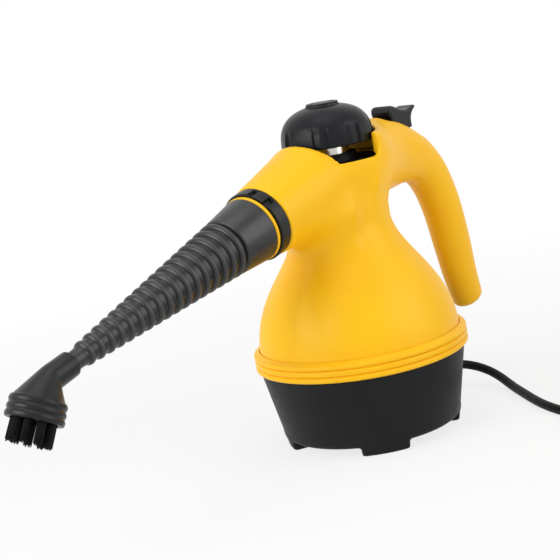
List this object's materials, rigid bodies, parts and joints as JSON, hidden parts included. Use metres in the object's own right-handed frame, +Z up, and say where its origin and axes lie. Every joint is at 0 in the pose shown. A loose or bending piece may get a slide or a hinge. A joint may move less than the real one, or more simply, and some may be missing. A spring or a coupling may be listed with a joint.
{
  "type": "handheld steam cleaner",
  "caption": "Handheld pressure steam cleaner: bell-shaped body with boiler, spout with ribbed nozzle and round brush, thumb trigger, free-ended handle and screw-on safety cap.",
  "frame": {"origin": "on the floor that the feet stand on, at the bottom centre of the bounding box of the steamer with its nozzle and brush, measured without the free lead", "axes": "+Z up, the nozzle points along -X and the handle along +X, and +Y is the steamer's right-hand side when it is held by the handle with the nozzle forward"},
  "size_m": [0.4505, 0.338, 0.2312],
  "materials": {
    "yellow_plastic": "satin moulded plastic, warm yellow",
    "black_plastic": "fine-grained moulded plastic, near black",
    "black_rubber": "matt flexible plastic, black",
    "bright_metal": "bright turned or drawn metal",
    "cast_aluminium": "as cast",
    "brass": "turned",
    "silicone": "matt",
    "nylon": "matt nylon"
  },
  "bodies": {
    "steamer": {"base_shell": "black_plastic", "band_ring": "yellow_plastic", "housing_left": "yellow_plastic", "housing_right": "yellow_plastic", "bayonet_collar": "black_plastic", "well_ring": "black_rubber", "boiler_lower": "cast_aluminium", "boiler_upper": "cast_aluminium", "boiler_gasket": "silicone", "filler_neck": "bright_metal", "heating_element": "bright_metal", "thermostat": "brass", "thermal_fuse": "brass", "terminal_block": "nylon", "live_wire": "nylon", "neutral_wire": "nylon", "cord_tail": "black_rubber", "strain_relief": "black_rubber", "cord_lead": "black_rubber", "cord_coil": "black_rubber", "cord_tie": "black_rubber", "plug": "black_rubber", "plug_pin_1": "brass", "plug_pin_2": "brass", "steam_inlet_pipe": "brass", "steam_outlet_pipe": "brass", "spout_tube": "brass", "valve_body": "brass", "valve_spring": "bright_metal", "trigger_pin": "bright_metal", "base_screw_1": "bright_metal", "base_screw_2": "bright_metal", "base_screw_3": "bright_metal", "base_screw_4": "bright_metal", "boiler_screw_1": "bright_metal", "boiler_screw_2": "bright_metal", "boiler_screw_3": "bright_metal", "boiler_screw_4": "bright_metal", "housing_screw_1": "bright_metal", "housing_screw_2": "bright_metal", "housing_screw_3": "bright_metal", "housing_screw_4": "bright_metal", "housing_screw_5": "bright_metal"},
    "cap_relief": {"relief_valve": "brass"},
    "cap_seal": {"cap_gasket": "silicone"},
    "cap_core": {"cap_plug": "nylon", "cap_retainer": "bright_metal", "cap_spring": "bright_metal"},
    "cap_top": {"cap_shell": "black_plastic", "cap_disc": "black_plastic"},
    "trigger_lever": {"trigger": "black_plastic"},
    "stem": {"valve_stem": "bright_metal"},
    "nozzle_ring": {"marker_ring": "yellow_plastic"},
    "nozzle": {"nozzle_cone": "black_plastic", "nozzle_seal": "silicone"},
    "brush": {"brush_head": "black_plastic", "bristles": "nylon"}
  },
  "joints": [
    {"name": "cap_lift", "type": "slide", "parent": "steamer", "child": "cap_relief", "axis": [0, 0, 1], "range_m": [0, 0.045]},
    {"name": "cap_rise", "type": "slide", "parent": "cap_relief", "child": "cap_seal", "axis": [0, 0, 1], "range_m": [0, 0.0075]},
    {"name": "cap_turn", "type": "hinge", "parent": "cap_seal", "child": "cap_core", "pos_m": [0.0814, 0, 0.2], "axis": [0, 0, 1], "range_deg": [0, 900]},
    {"name": "cap_press", "type": "slide", "parent": "cap_core", "child": "cap_top", "axis": [0, 0, -1], "range_m": [0, 0.0025], "stiffness_N_per_m": 3000, "springref_m": -0.001, "deforming": ["cap_spring"]},
    {"name": "trigger_press", "type": "hinge", "parent": "steamer", "child": "trigger_lever", "pos_m": [0.1694, 0, 0.1865], "axis": [0, -1, 0], "range_deg": [0, 8], "stiffness_Nm_per_rad": 1.5, "springref_deg": -5.73},
    {"name": "valve_open", "type": "slide", "parent": "steamer", "child": "stem", "axis": [0, 0, -1], "range_m": [0, 0.0036], "deforming": ["valve_spring"]},
    {"name": "nozzle_pull", "type": "slide", "parent": "steamer", "child": "nozzle_ring", "axis": [-0.9724, 0, -0.2334], "range_m": [0, 0.035]},
    {"name": "nozzle_turn", "type": "hinge", "parent": "nozzle_ring", "child": "nozzle", "pos_m": [0.0035, 0, 0.1668], "axis": [-0.9724, 0, -0.2334], "range_deg": [0, 40]},
    {"name": "brush_pull", "type": "slide", "parent": "nozzle", "child": "brush", "axis": [-0.9724, 0, -0.2334], "range_m": [0, 0.02]}
  ],
  "couplings": [
    {"joint": "cap_rise", "follows": "cap_turn", "m_per_rad": 0.000477},
    {"joint": "valve_open", "follows": "trigger_press", "m_per_rad": 0.0257}
  ]
}
